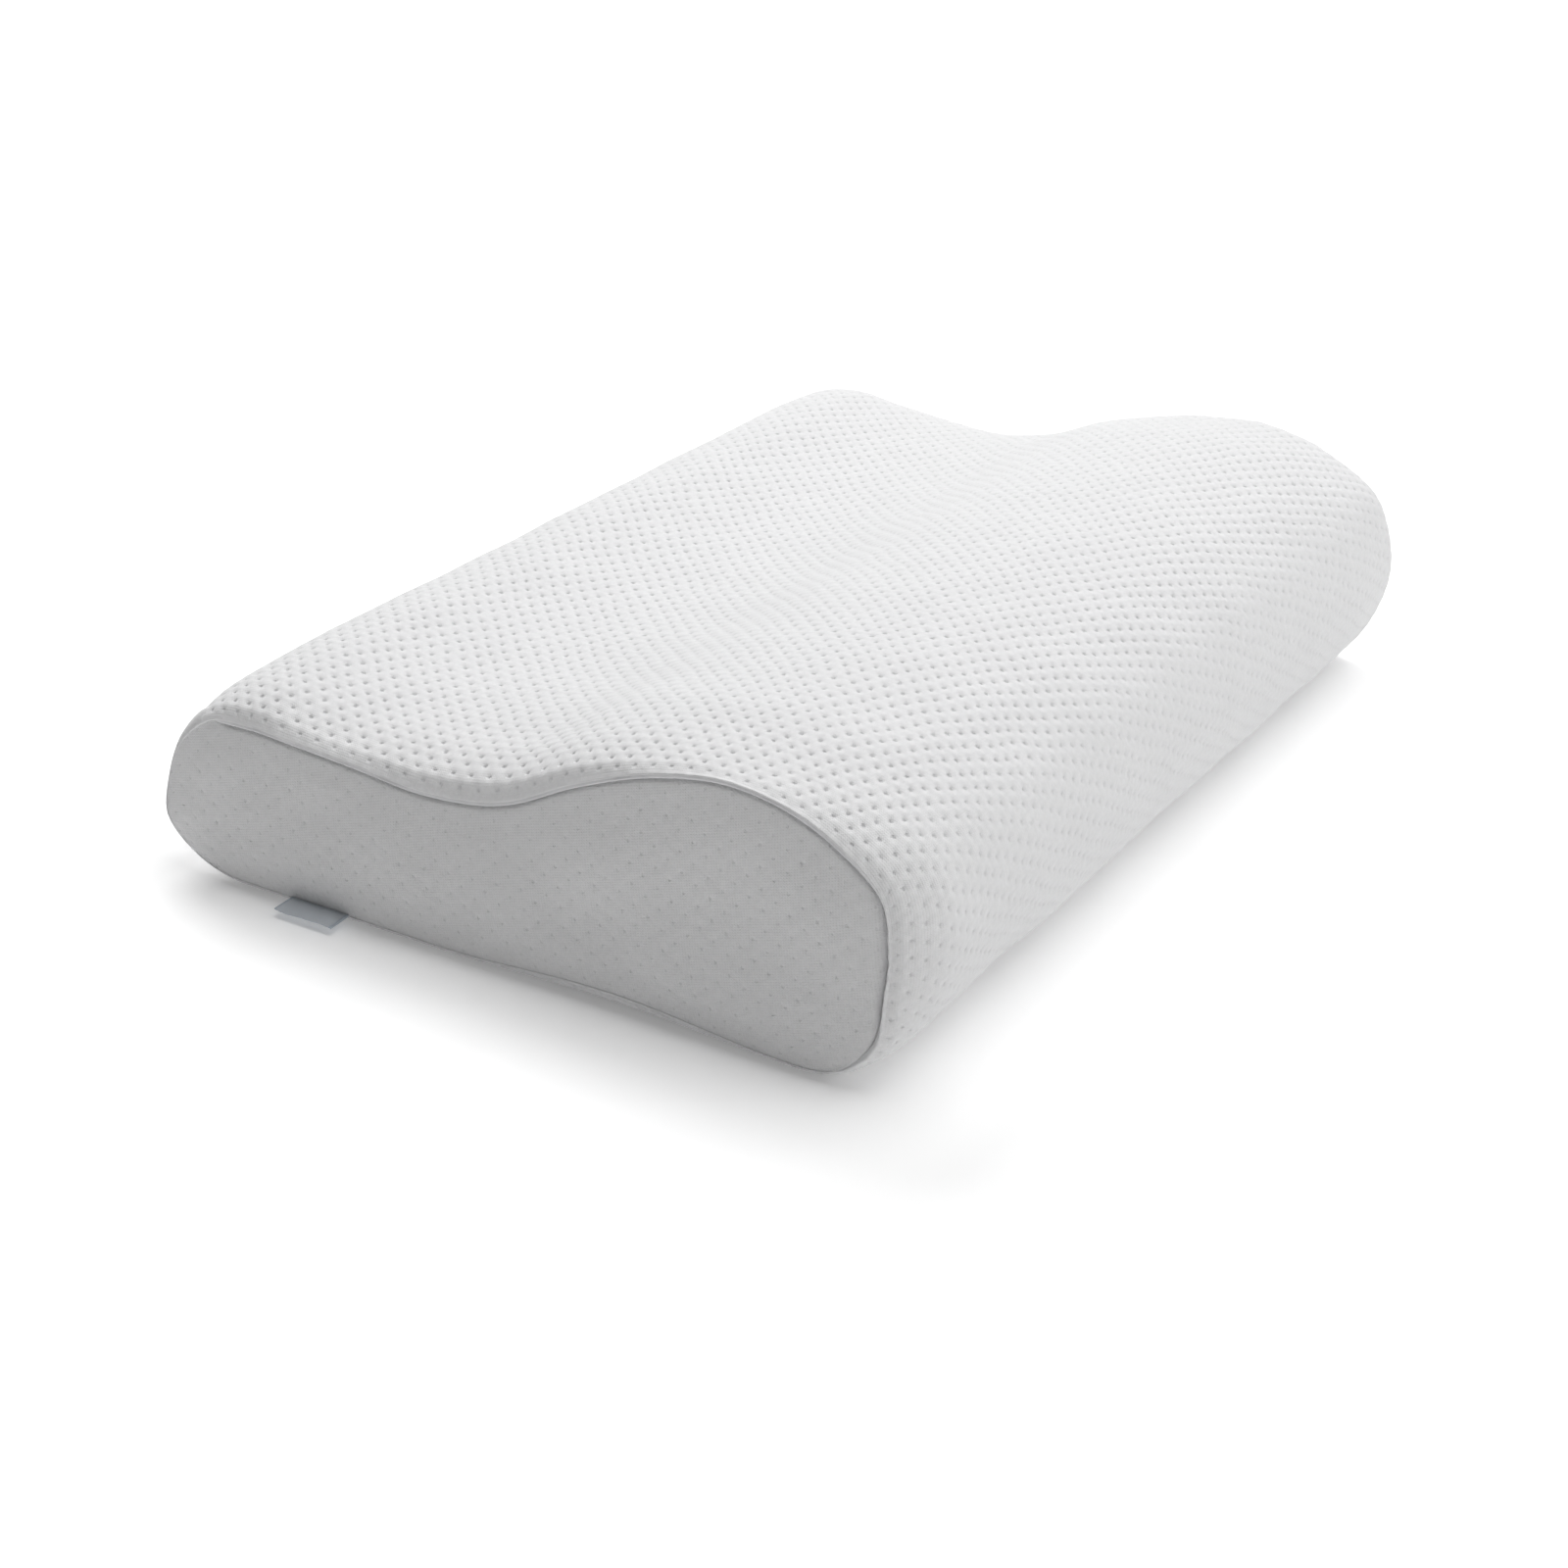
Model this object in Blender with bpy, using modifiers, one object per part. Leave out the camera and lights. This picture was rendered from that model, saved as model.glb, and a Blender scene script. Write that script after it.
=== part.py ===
"""A contour pillow: a wave-shaped foam pillow in a sewn knitted cover.

Frame, in metres: X runs along the pillow from the near end to the far end, Y across it from
the high lobe (front) to the low lobe (back), Z up. The origin is on the flat underside, below
the middle of the pillow.
"""
import math

import bmesh
import bpy
import numpy as np

# Driving sizes, in metres
SEAM_LENGTH = 0.500          # between the two end seams
ROLL_DEPTH = 0.005           # how far in from a seam the wrap's tight roll reaches
SHOULDER_DEPTH = 0.026       # how far the shoulder beside it reaches
TIGHT_SHARE = 0.45           # share of a section's roll that is tight; the rest is shoulder
SOFT_DEPTH = 0.062           # how far in from a seam the wrap is drawn in at all
ARCH_RISE = 0.0042           # how far the underside arches up at a seam
ARCH_Y = -0.040              # middle of that arch across the pillow
ARCH_REACH = 0.075           # half its length
CROWN = 0.0045               # how far the middle of an end bulges past its seam
PANEL_THICKNESS = 0.0024     # knitted end panel with its backing
GAP = 0.0003                 # clearance between touching pieces
SEAM_SINK = 0.0006           # how deep the end panel's rim sits behind the seam plane
LIP_WIDTH = 0.0018           # the sewn edge of the wrap beside the seam
LIP_RISE = 0.0002            # how far the lip stands out past the seam plane
LIP_FALL = 0.0008            # how far the lip's inner edge turns back in
SPINE_REACH = 0.62           # length of an end's middle line, as a share of the end's
BULGE_POWER = 2.4            # how flat the middle of an end's bulge is
SHARP_ANGLE = math.radians(50.0)

# Mesh fineness
POINTS_OVER_TOP = 72
POINTS_ALONG_BASE = 14
MIDDLE_STATIONS = 9
SOFT_STATIONS = 7
STATION_SPREAD = 1.5         # how much closer together they lie towards a seam
ROLL_STATIONS = 5
CAP_RINGS = (0.22, 0.45, 0.70, 0.90)

# The rolled rim of an end panel, from its back edge to its face: how far up its thickness a ring
# lies and how far in from its outline, both as shares of the thickness
RIM_ROLL = ((0.0, 0.0), (0.5, 0.0), (0.85, 0.25), (1.0, 0.8))

MM = 0.001

# The section halfway along the pillow, from the front foot over the two lobes to the back foot:
# y and z in millimetres, and how far the wrap is drawn in there at an end seam: by its soft slope
# towards the seam, and by its roll beside the seam
SECTION = (
    # name, y, z, slope, roll
    ("front foot", -112.5, 0.0, 0.0, 3.6),
    ("front heel", -131.0, 3.2, 0.0, 3.9),
    ("front heel top", -146.6, 16.5, 0.1, 5.6),
    ("front face low", -155.5, 34.2, 0.5, 11.8),
    ("front face", -158.6, 56.3, 1.1, 13.6),
    ("front brow", -149.6, 80.6, 1.9, 10.3),
    ("high lobe front", -125.3, 96.1, 2.9, 5.2),
    ("high lobe", -99.9, 103.4, 3.5, 2.1),
    ("high crest", -80.3, 105.5, 3.7, 1.7),
    ("high lobe rear", -48.9, 103.4, 3.4, 5.3),
    ("slope", -14.6, 94.8, 3.4, 10.1),
    ("dip front", 16.5, 80.6, 3.2, 11.7),
    ("dip", 42.0, 75.0, 3.2, 9.7),
    ("dip back", 71.3, 73.5, 3.0, 6.4),
    ("low lobe front", 99.4, 75.9, 2.8, 7.4),
    ("low crest", 118.6, 78.6, 2.5, 9.7),
    ("low lobe back", 137.2, 74.3, 2.3, 8.1),
    ("back brow", 152.6, 56.7, 2.3, 4.9),
    ("back face", 155.8, 37.1, 1.6, 1.6),
    ("back heel top", 154.2, 20.9, 0.8, 0.2),
    ("back heel", 140.8, 7.8, 0.4, 1.1),
    ("back foot", 118.0, 0.0, 0.0, 3.8),
)

# The small woven tab in the bottom seam of the near end
TAB_Y = 0.084                # middle of the tab across the pillow
TAB_WIDTH = 0.025
TAB_LENGTH = 0.0120          # how far it stands out of the seam
TAB_THICKNESS = 0.0009
TAB_DROOP = 0.0034           # how far its free edge hangs below its root
TAB_ROOT_RISE = 0.0004       # root above the wrap's lip
TAB_ROOT_SINK = 0.0003       # root in from the seam plane
TAB_EDGE = 0.0002            # rounding of the tab's edges

KNIT_COLOUR = (0.86, 0.86, 0.87, 1.0)
END_COLOUR = (0.80, 0.80, 0.81, 1.0)
TAB_COLOUR = (0.62, 0.68, 0.74, 1.0)


def material(name, colour, roughness):
    """A matte textile material."""
    result = bpy.data.materials.new(name)
    result.use_nodes = True
    shader = result.node_tree.nodes["Principled BSDF"]
    shader.inputs["Base Color"].default_value = colour
    shader.inputs["Roughness"].default_value = roughness
    shader.inputs["Metallic"].default_value = 0.0
    return result


def spline(rows, steps=12):
    """A smooth curve through the rows, level where it meets the flat underside at either foot."""
    pts = np.array(rows, dtype=float)
    chord = np.linalg.norm(np.diff(pts[:, :2], axis=0), axis=1)
    slope = np.zeros_like(pts)
    for i in range(1, len(pts) - 1):
        before, after = chord[i - 1], chord[i]
        slope[i] = ((pts[i] - pts[i - 1]) / before * after
                    + (pts[i + 1] - pts[i]) / after * before) / (before + after)
    slope[0, 0] = slope[-1, 0] = -1.0
    out = []
    for i in range(len(pts) - 1):
        for k in range(steps):
            t = k / steps
            h = chord[i]
            out.append((2 * t**3 - 3 * t**2 + 1) * pts[i] + (t**3 - 2 * t**2 + t) * h * slope[i]
                       + (3 * t**2 - 2 * t**3) * pts[i + 1] + (t**3 - t**2) * h * slope[i + 1])
    out.append(pts[-1])
    return np.array(out)


def even_points(curve, count):
    """The curve's points again, count of them at even distances along it, both ends kept."""
    run = np.r_[0.0, np.cumsum(np.linalg.norm(np.diff(curve[:, :2], axis=0), axis=1))]
    at = np.linspace(0.0, run[-1], count)
    return np.stack([np.interp(at, run, curve[:, k]) for k in range(curve.shape[1])], axis=1)


def outline():
    """The closed middle section as rows of y, z and its two draw-ins, in metres."""
    rows = [row[1:] for row in SECTION]
    over = even_points(spline(rows), POINTS_OVER_TOP) * MM
    base = np.linspace(over[-1], over[0], POINTS_ALONG_BASE + 2)[1:-1]
    off_middle = np.clip(np.abs(base[:, 0] - ARCH_Y) / ARCH_REACH, 0.0, 1.0)
    base[:, 3] += ARCH_RISE * np.cos(0.5 * math.pi * off_middle) ** 2
    return np.vstack([over, base])


def normals(section):
    """Outward unit normals of a closed section that runs over the top from front to back."""
    along = np.roll(section, -1, axis=0) - np.roll(section, 1, axis=0)
    out = np.stack([-along[:, 1], along[:, 0]], axis=1)
    return out / np.linalg.norm(out, axis=1)[:, None]


def section_at(rows, distance, extra=0.0):
    """The section at a distance from the nearer seam, drawn in by an even extra as well."""
    yz = rows[:, :2]
    to_roll = 1.0 - min(distance / ROLL_DEPTH, 1.0)
    to_shoulder = 1.0 - min(distance / SHOULDER_DEPTH, 1.0)
    soft = min(distance / SOFT_DEPTH, 1.0)
    gentle = (1.0 - soft) ** 2 * (1.0 + 2.0 * soft)
    tight = 1.0 - math.sqrt(1.0 - to_roll ** 2)
    rolled = TIGHT_SHARE * tight + (1.0 - TIGHT_SHARE) * to_shoulder ** 2
    return yz - normals(yz) * (rows[:, 2:3] * gentle + rows[:, 3:4] * rolled + extra)


def spine_of(section):
    """For each point of a section, the point on its middle line that a cap's rings close on."""
    y = section[:, 0]
    top = section[:POINTS_OVER_TOP]
    upper = top[np.argmin(top[:, 0]):np.argmax(top[:, 0]) + 1]
    centre = (y.min() + y.max()) / 2.0
    spine_y = centre + (y - centre) * SPINE_REACH
    height = np.interp(spine_y, upper[:, 0], upper[:, 1])
    return np.stack([spine_y, 0.5 * height], axis=1)


def stations():
    """Distances from the nearer seam, from a seam to the middle of the pillow."""
    turn = [math.pi / 2.0 * k / ROLL_STATIONS for k in range(ROLL_STATIONS)]
    tight = [ROLL_DEPTH * (1.0 - math.cos(angle)) for angle in turn]
    spread = np.linspace(0.0, 1.0, SOFT_STATIONS + 1)[:-1] ** STATION_SPREAD
    soft = ROLL_DEPTH + (SOFT_DEPTH - ROLL_DEPTH) * spread
    middle = np.linspace(SOFT_DEPTH, SEAM_LENGTH / 2.0, MIDDLE_STATIONS // 2 + 1)
    return [*tight, *soft, *middle]


def cap_bulge(share):
    """The outward bulge of an end, from 0 at the seam to CROWN at the spine."""
    return CROWN * (1.0 - (1.0 - share) ** BULGE_POWER)


def add_ring(mesh, x, section):
    """One closed ring of vertices at a length along the pillow; x may be one value or a row."""
    xs = np.broadcast_to(x, (len(section),))
    return [mesh.verts.new((float(a), float(p[0]), float(p[1]))) for a, p in zip(xs, section)]


def join_rings(mesh, first, second):
    """Faces between two rings of the same length."""
    count = len(first)
    for k in range(count):
        n = (k + 1) % count
        mesh.faces.new((first[k], first[n], second[n], second[k]))


def close_ring(mesh, ring):
    """A cap over the innermost ring of an end."""
    face = mesh.faces.new(ring)
    bmesh.ops.triangulate(mesh, faces=[face], ngon_method="EAR_CLIP")


def finish(mesh, name, surface, collection):
    """An object from a bmesh, with its faces pointing out and shaded smooth."""
    bmesh.ops.recalc_face_normals(mesh, faces=mesh.faces)
    data = bpy.data.meshes.new(name)
    mesh.to_mesh(data)
    mesh.free()
    data.materials.append(surface)
    data.shade_smooth()
    data.set_sharp_from_angle(angle=SHARP_ANGLE)
    result = bpy.data.objects.new(name, data)
    collection.objects.link(result)
    return result


def end_rings(mesh, rows, side, seam_inset, sink, rings):
    """Rings of an end's crowned surface, from inside the seam to its spine."""
    seam = section_at(rows, 0.0, seam_inset)
    spine = spine_of(seam)
    made = []
    for share in rings:
        section = seam + (spine - seam) * share
        x = side * (SEAM_LENGTH / 2.0 - sink + cap_bulge(share))
        made.append(add_ring(mesh, x, section))
    return made


def make_body(rows, surface, collection):
    """The filled pillow in its wrap: lofted sections, a roll and a sewn lip at each end."""
    mesh = bmesh.new()
    half = stations()
    rings = []
    for side in (-1.0, 1.0):
        order = half if side < 0 else half[::-1][1:]
        for distance in order:
            x = side * (SEAM_LENGTH / 2.0 - distance)
            rings.append(add_ring(mesh, x, section_at(rows, distance)))
    pocket = SEAM_SINK + PANEL_THICKNESS + GAP
    for side, outer in ((-1.0, rings[0]), (1.0, rings[-1])):
        end = SEAM_LENGTH / 2.0
        lip_top = add_ring(mesh, side * (end + LIP_RISE), section_at(rows, 0.0, LIP_WIDTH / 2.0))
        lip_in = add_ring(mesh, side * (end - LIP_FALL), section_at(rows, 0.0, LIP_WIDTH))
        floor = add_ring(mesh, side * (end - pocket), section_at(rows, 0.0, LIP_WIDTH))
        run = [outer, lip_top, lip_in, floor]
        run += end_rings(mesh, rows, side, LIP_WIDTH, pocket, CAP_RINGS)
        for first, second in zip(run, run[1:]):
            join_rings(mesh, first, second)
        close_ring(mesh, run[-1])
    for first, second in zip(rings, rings[1:]):
        join_rings(mesh, first, second)
    return finish(mesh, "pillow_body", surface, collection)


def make_end_panel(rows, name, side, surface, collection):
    """A crowned knitted panel with a rolled rim, lying in the seam of one end."""
    mesh = bmesh.new()
    inset = LIP_WIDTH + GAP
    end = SEAM_LENGTH / 2.0
    back = SEAM_SINK + PANEL_THICKNESS
    rim = PANEL_THICKNESS
    outer = [
        add_ring(mesh, side * (end - back + rim * rise), section_at(rows, 0.0, inset + rim * fall))
        for rise, fall in RIM_ROLL
    ]
    rolled = inset + rim * RIM_ROLL[-1][1]
    front_rings = end_rings(mesh, rows, side, rolled, SEAM_SINK, CAP_RINGS)
    back_rings = end_rings(mesh, rows, side, inset, back, CAP_RINGS)
    front = outer + front_rings
    rear = [outer[0]] + back_rings
    for run in (front, rear):
        for first, second in zip(run, run[1:]):
            join_rings(mesh, first, second)
        close_ring(mesh, run[-1])
    return finish(mesh, name, surface, collection)


def make_tab(rows, surface, collection):
    """The blank woven tab that stands out of the near end's bottom seam."""
    bottom = section_at(rows, 0.0, LIP_WIDTH)[POINTS_OVER_TOP:]
    lip_z = float(np.interp(TAB_Y, bottom[::-1, 0], bottom[::-1, 1]))
    root_z = lip_z + TAB_ROOT_RISE
    root_x = -SEAM_LENGTH / 2.0 + TAB_ROOT_SINK
    bpy.ops.mesh.primitive_cube_add(size=1.0)
    tab = bpy.context.object
    tab.name = tab.data.name = "label_tab"
    tab.scale = (TAB_LENGTH, TAB_WIDTH, TAB_THICKNESS)
    tab.location = (root_x - TAB_LENGTH / 2.0, TAB_Y, root_z - TAB_DROOP / 2.0)
    tab.rotation_euler = (0.0, -math.atan2(TAB_DROOP, TAB_LENGTH), 0.0)
    bpy.ops.object.transform_apply(location=False, rotation=False, scale=True)
    bevel = tab.modifiers.new("soft edges", "BEVEL")
    bevel.width = TAB_EDGE
    bevel.segments = 1
    tab.data.materials.append(surface)
    for owner in list(tab.users_collection):
        owner.objects.unlink(tab)
    collection.objects.link(tab)
    return tab


def main():
    for old in list(bpy.data.objects):
        bpy.data.objects.remove(old, do_unlink=True)
    collection = bpy.data.collections.new("contour_pillow")
    bpy.context.scene.collection.children.link(collection)
    rows = outline()
    knit = material("knitted_wrap", KNIT_COLOUR, 0.85)
    end_knit = material("knitted_end", END_COLOUR, 0.85)
    woven = material("woven_tab", TAB_COLOUR, 0.7)
    make_body(rows, knit, collection)
    make_end_panel(rows, "end_panel_near", -1.0, end_knit, collection)
    make_end_panel(rows, "end_panel_far", 1.0, end_knit, collection)
    make_tab(rows, woven, collection)


main()
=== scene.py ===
"""Looks of the contour pillow: its knitted wrap, two sewn end panels and small woven tab.

Frame, in metres: X runs along the pillow from the near end, which holds the tab, to the far end,
Y across it from the high lobe (front) to the low lobe (back), Z up.
"""
import math

import bpy
import numpy as np
from mathutils import Matrix, Vector
from mathutils.geometry import delaunay_2d_cdt


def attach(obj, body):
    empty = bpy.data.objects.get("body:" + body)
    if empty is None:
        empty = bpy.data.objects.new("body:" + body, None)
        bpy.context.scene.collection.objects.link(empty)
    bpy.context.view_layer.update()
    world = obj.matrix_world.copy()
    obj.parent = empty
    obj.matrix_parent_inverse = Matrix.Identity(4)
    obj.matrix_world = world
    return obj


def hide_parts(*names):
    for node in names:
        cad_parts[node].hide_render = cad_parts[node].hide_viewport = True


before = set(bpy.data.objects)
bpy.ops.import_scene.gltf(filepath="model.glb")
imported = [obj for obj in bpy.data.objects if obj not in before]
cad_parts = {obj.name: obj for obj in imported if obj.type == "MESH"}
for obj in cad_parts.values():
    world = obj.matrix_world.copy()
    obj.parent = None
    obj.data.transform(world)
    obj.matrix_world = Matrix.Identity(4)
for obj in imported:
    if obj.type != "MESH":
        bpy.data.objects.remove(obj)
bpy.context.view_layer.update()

MM = 0.001

# Sizes of the sewn cover, the same as those of the solids
SEAM_LENGTH = 0.500          # between the two end seams
HALF = SEAM_LENGTH / 2.0
ROLL_DEPTH = 0.005           # how far in from a seam the wrap's tight roll reaches
SHOULDER_DEPTH = 0.026       # how far the shoulder beside it reaches
TIGHT_SHARE = 0.45           # share of a section's roll that is tight; the rest is shoulder
SOFT_DEPTH = 0.062           # how far in from a seam the wrap is drawn in at all
ARCH_RISE = 0.0042           # how far the underside arches up at a seam
ARCH_Y = -0.040              # middle of that arch across the pillow
ARCH_REACH = 0.075           # half its length
CROWN = 0.0045               # how far the middle of an end bulges past its seam
SPINE_REACH = 0.62           # length of an end's middle line, as a share of the end's
SPINE_FROM = 0.3             # points lower than this share of an end's height lie below that line
BULGE_POWER = 2.4            # how flat the middle of an end's bulge is

# The section halfway along the pillow, from the front foot over the two lobes to the back foot:
# y and z in millimetres, and how far the wrap is drawn in there at an end seam: by its soft slope
# towards the seam, and by its roll beside the seam
SECTION = (
    # name, y, z, slope, roll
    ("front foot", -112.5, 0.0, 0.0, 3.6),
    ("front heel", -131.0, 3.2, 0.0, 3.9),
    ("front heel top", -146.6, 16.5, 0.1, 5.6),
    ("front face low", -155.5, 34.2, 0.5, 11.8),
    ("front face", -158.6, 56.3, 1.1, 13.6),
    ("front brow", -149.6, 80.6, 1.9, 10.3),
    ("high lobe front", -125.3, 96.1, 2.9, 5.2),
    ("high lobe", -99.9, 103.4, 3.5, 2.1),
    ("high crest", -80.3, 105.5, 3.7, 1.7),
    ("high lobe rear", -48.9, 103.4, 3.4, 5.3),
    ("slope", -14.6, 94.8, 3.4, 10.1),
    ("dip front", 16.5, 80.6, 3.2, 11.7),
    ("dip", 42.0, 75.0, 3.2, 9.7),
    ("dip back", 71.3, 73.5, 3.0, 6.4),
    ("low lobe front", 99.4, 75.9, 2.8, 7.4),
    ("low crest", 118.6, 78.6, 2.5, 9.7),
    ("low lobe back", 137.2, 74.3, 2.3, 8.1),
    ("back brow", 152.6, 56.7, 2.3, 4.9),
    ("back face", 155.8, 37.1, 1.6, 1.6),
    ("back heel top", 154.2, 20.9, 0.8, 0.2),
    ("back heel", 140.8, 7.8, 0.4, 1.1),
    ("back foot", 118.0, 0.0, 0.0, 3.8),
)
FINE_OVER = 900              # points of the section over the top
FINE_BASE = 160              # and along the underside
UNDERSIDE_TURN = -0.93       # an outward normal's z below this is the underside

# The knit's pits lie in columns that run round the pillow; a lattice of pits, in metres
COLUMN_PITCH = 0.0056        # between columns, along the pillow
COLUMNS_EACH_WAY = 45
EDGE_MARGIN = 0.0046         # cloth between the last column and a seam
CLOTH_HALF = COLUMNS_EACH_WAY * COLUMN_PITCH + EDGE_MARGIN
EDGE_ZONE = 0.090            # length of pillow at each end that takes up the roll's extra cloth
PITS_ROUND = 100             # pits in a column, once round the pillow
COLUMN_SHIFT = 0.36          # each column starts this share of a pitch further back
PIT_HALF_X = 0.00150         # half the width of the faces that hold a pit
PIT_HALF_S = 0.00130
PIT_RING = 0.50              # size of a pit's inner ring, as a share of those faces
PIT_DEPTH = 0.00072
PIT_RING_DEPTH = 0.50        # depth of the inner ring, as a share
FAINT_FRONT = (-0.157, -0.125)  # the knit is drawn flatter over the front face, between these y, and the painted shade in its pits is fainter there
FAINT_PITS = 0.45            # share of their depth that pits keep there
PUFF_HEIGHT = 0.00038        # how far the knit between pits stands up
PUFF_LEVEL = 0.9             # share of a puff's height that lies below the solid's surface
KNIT_STARTS = (0.002, 0.009)  # cloth from a seam between which puffs and pits reach full size
EDGE_PITS = 0.4              # share of their depth that pits have beside a seam
DRIFT_STARTS = (0.0, 0.020)  # and between which the columns are free to wander
OFF_BASE = (-1.0, -0.9)      # an outward normal's z between which the relief starts
PUCKER_FADE = 0.007          # cloth over which the small puckers by a seam fade
PUCKER_STRETCH = 0.6         # how much finer they are round the pillow than along it

# Smooth seeded waves that make the cloth a little uneven
UNEVEN = {
    # what: seed, size, shortest and longest wave, in metres; a pit depth's size is a share
    "drift along": (3, 0.00035, 0.015, 0.060),
    "drift round": (4, 0.00035, 0.015, 0.060),
    "pit depth": (9, 0.20, 0.006, 0.020),
    "pucker": (21, 0.00013, 0.006, 0.019),
    "wrap": (31, 0.00025, 0.030, 0.110),
    "panel pit depth": (41, 0.40, 0.006, 0.020),
    "panel": (43, 0.00035, 0.030, 0.090),
    "panel pucker": (45, 0.00010, 0.006, 0.018),
}

# How far the wrap stands out beside a seam, by the cloth's distance from it, in millimetres
WELT = (
    # distance, stands out
    (0.0, 0.20),
    (0.3, 0.26),
    (0.9, 0.08),
    (1.7, -0.36),
    (2.6, -0.46),
    (4.6, -0.20),
    (6.6, 0.0),
)
SEAM_RINGS = 5               # rows of that table before the first column of pits
# The wrap's edge from the seam's plane into the crease, in millimetres
LIP = (
    # past the plane, in from the seam's outline
    (0.38, 0.45),
    (0.30, 0.90),
    (-0.15, 1.28),
    (-1.60, 1.42),
)
COVERED_LIP = -0.9           # how far past the plane it lies where a panel covers it
POCKET_DEPTH = 0.0032        # from the seam's plane to the foam behind a panel
CAP_RINGS = (0.0, 0.25, 0.55, 0.85)  # rings of an end, from its rim towards its middle line

# An end panel rolls over the pillow's edge along the back and the underside, and hides the seam
# there: distances round the section, from the front foot, between which it starts and ends
COVER_STARTS = (0.398, 0.417)
COVER_ENDS = (0.007, 0.042)
# The panel's rim from its hidden edge inwards, in millimetres. In the seam: in from the seam's
# outline. Over the edge: back from the seam's plane, and out from the wrap's surface
RIM = (
    # in the seam, back, out
    (1.50, 5.2, -0.40),
    (1.52, 5.0, 0.15),
    (1.62, 4.2, 0.35),
    (1.85, 2.7, 0.40),
    (2.15, 1.5, 0.40),
    (2.50, 0.7, 0.33),
    (2.90, 0.2, 0.25),
)
# and on towards its middle: in from the seam's outline, in the seam and over the edge
RIM_INNER = (
    (3.4, 0.6),
    (4.2, 2.0),
    (5.2, 4.0),
    (6.8, 6.2),
)
RIM_WIDTH = 0.0017           # how far in from its edge a panel rolls down into the seam
RIM_FALL = 0.0013            # and how deep
RIM_SINK = 0.0003            # depth of the panel's face behind the solid's
FRONT_WIDTH = 0.0068         # the same of the broader roll along the front
FRONT_FALL = 0.0045
FRONT_STARTS = (0.030, 0.062)  # distances round the section between which that roll starts
FRONT_ENDS = (0.088, 0.140)  # and ends
FRONT_LIP_FALL = 0.0022      # how much further the wrap's lip turns in there
FRONT_TIGHT = 0.40           # share of the wrap's tight roll that is left there
PANEL_POINTS = 400           # points round an end panel
PANEL_HALF_HEIGHT = 0.042    # from its outline to where its crown is fullest
PANEL_BACK = 0.0028          # the panel's back behind the seam's plane
PANEL_COLUMN_PITCH = 0.0051  # its pits: between columns, along a column, and how columns shift
PANEL_PIT_PITCH = 0.0077
PANEL_SHIFT = 0.45
PANEL_LEAN = math.radians(10.0)  # how far the columns lean back
PANEL_FINE = 6               # grid steps for each step between pits
PANEL_SPARE = 20             # pitches by which the grid is larger than the panel, before it is cut
PANEL_MARGIN = 0.0006        # between the grid and the rim's innermost ring
PANEL_PIT_DEPTH = 0.00027
PANEL_PIT_RADIUS = 0.00070
PANEL_PUFF = 0.00012
PANEL_KNIT_STARTS = (0.003, 0.009)  # in from the outline, where pits and puffs reach full size
PANEL_FULL_PITS = (0.060, -0.060)  # y between which the pits grow deeper towards the high lobe
PANEL_FAINT_PITS = 0.3       # their depth as a share before that
PANEL_SOFT_STARTS = (0.003, 0.020)  # in from the outline, where the soft unevenness starts
PANEL_PUCKERS = (0.002, 0.006)  # in from the outline, where the puckers start, and their fade

# The woven tab
TAB_Y = 0.084
TAB_WIDTH = 0.025
TAB_LENGTH = 0.0106
TAB_TAPE = 0.00032           # thickness of its tape
TAB_LAYERS = (0.2, 1.2)      # its inner and outer face from the middle, in thicknesses
TAB_ROOT_Z = 0.0039
TAB_ROOT_SINK = 0.0040       # length of tape hidden in the seam
TAB_DROOP = 0.0006           # how far its fold hangs below its root
TAB_DROOP_POWER = 1.4
TAB_CURL = 0.0002            # how far its two corners turn up
TAB_WAVES = (
    # height, waves in radians a metre across, start
    (0.00022, 260.0, 9.0),
    (0.00012, 610.0, 0.0),
)
TAB_STEPS_ALONG = 26
TAB_STEPS_ACROSS = 40
TAB_FOLD_STEPS = 8

# Finishes of the two knits: pit_depth and puff_height in metres, pit_size in millimetres;
# pit_painted_shade is a darker colour painted into the pits as shade
WRAP_KNIT = {
    "colour": (0.78, 0.78, 0.785),
    "pit_painted_shade": (0.62, 0.62, 0.63),
    "pit_depth": 0.00025,
    "puff_height": 0.00025,
    "pit_size": 1.25,
}
END_KNIT = {
    "colour": (0.72, 0.72, 0.725),
    "pit_painted_shade": (0.65, 0.65, 0.655),
    "pit_depth": 0.00015,
    "puff_height": 0.00006,
    "pit_size": 0.85,
}
# Noise in both knits, by its features a metre and its detail
RAGGED_NOISE = (900.0, 1.0)  # ragged edges of the pits,
RAGGED = 0.9                 # by this many millimetres
PIT_CORE = 0.15              # share of a pit's size that is at its full depth
FUZZ_NOISE = (1500.0, 2.0)
FUZZ_HEIGHT = 0.00012
SHADE_NOISE = (38.0, 4.0)    # slow change of tone,
SHADE_RANGE = (0.3, 0.7)     # between these values of the noise,
SHADE = 0.98                 # from this share of the colour up to all of it
GRAIN_NOISE = (650.0, 3.0)   # and the same as a fine grain
GRAIN_RANGE = (0.35, 0.65)
GRAIN = 0.95
PAINTED_PIT_SHADE = 0.85              # how much of the painted shade colour a pit shows
WALES = 5.0                  # knit loops to a column
COURSES = 8.0                # and to a pit
LOOP_SLANT = 1.1             # how far a loop's legs slant, in courses
LOOP_HEIGHT = 0.00010

# The woven tape
TAPE_LOW = (0.66, 0.71, 0.76, 1.0)
TAPE_HIGH = (0.74, 0.78, 0.83, 1.0)
TAPE_EDGE = (0.58, 0.64, 0.71, 1.0)
TAPE_EDGE_STARTS = (11.2, 11.9)  # millimetres from its middle line
TAPE_WARP = 0.42             # its threads, in millimetres
TAPE_WEFT = 0.36
TAPE_HEIGHT = 0.00005
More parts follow.
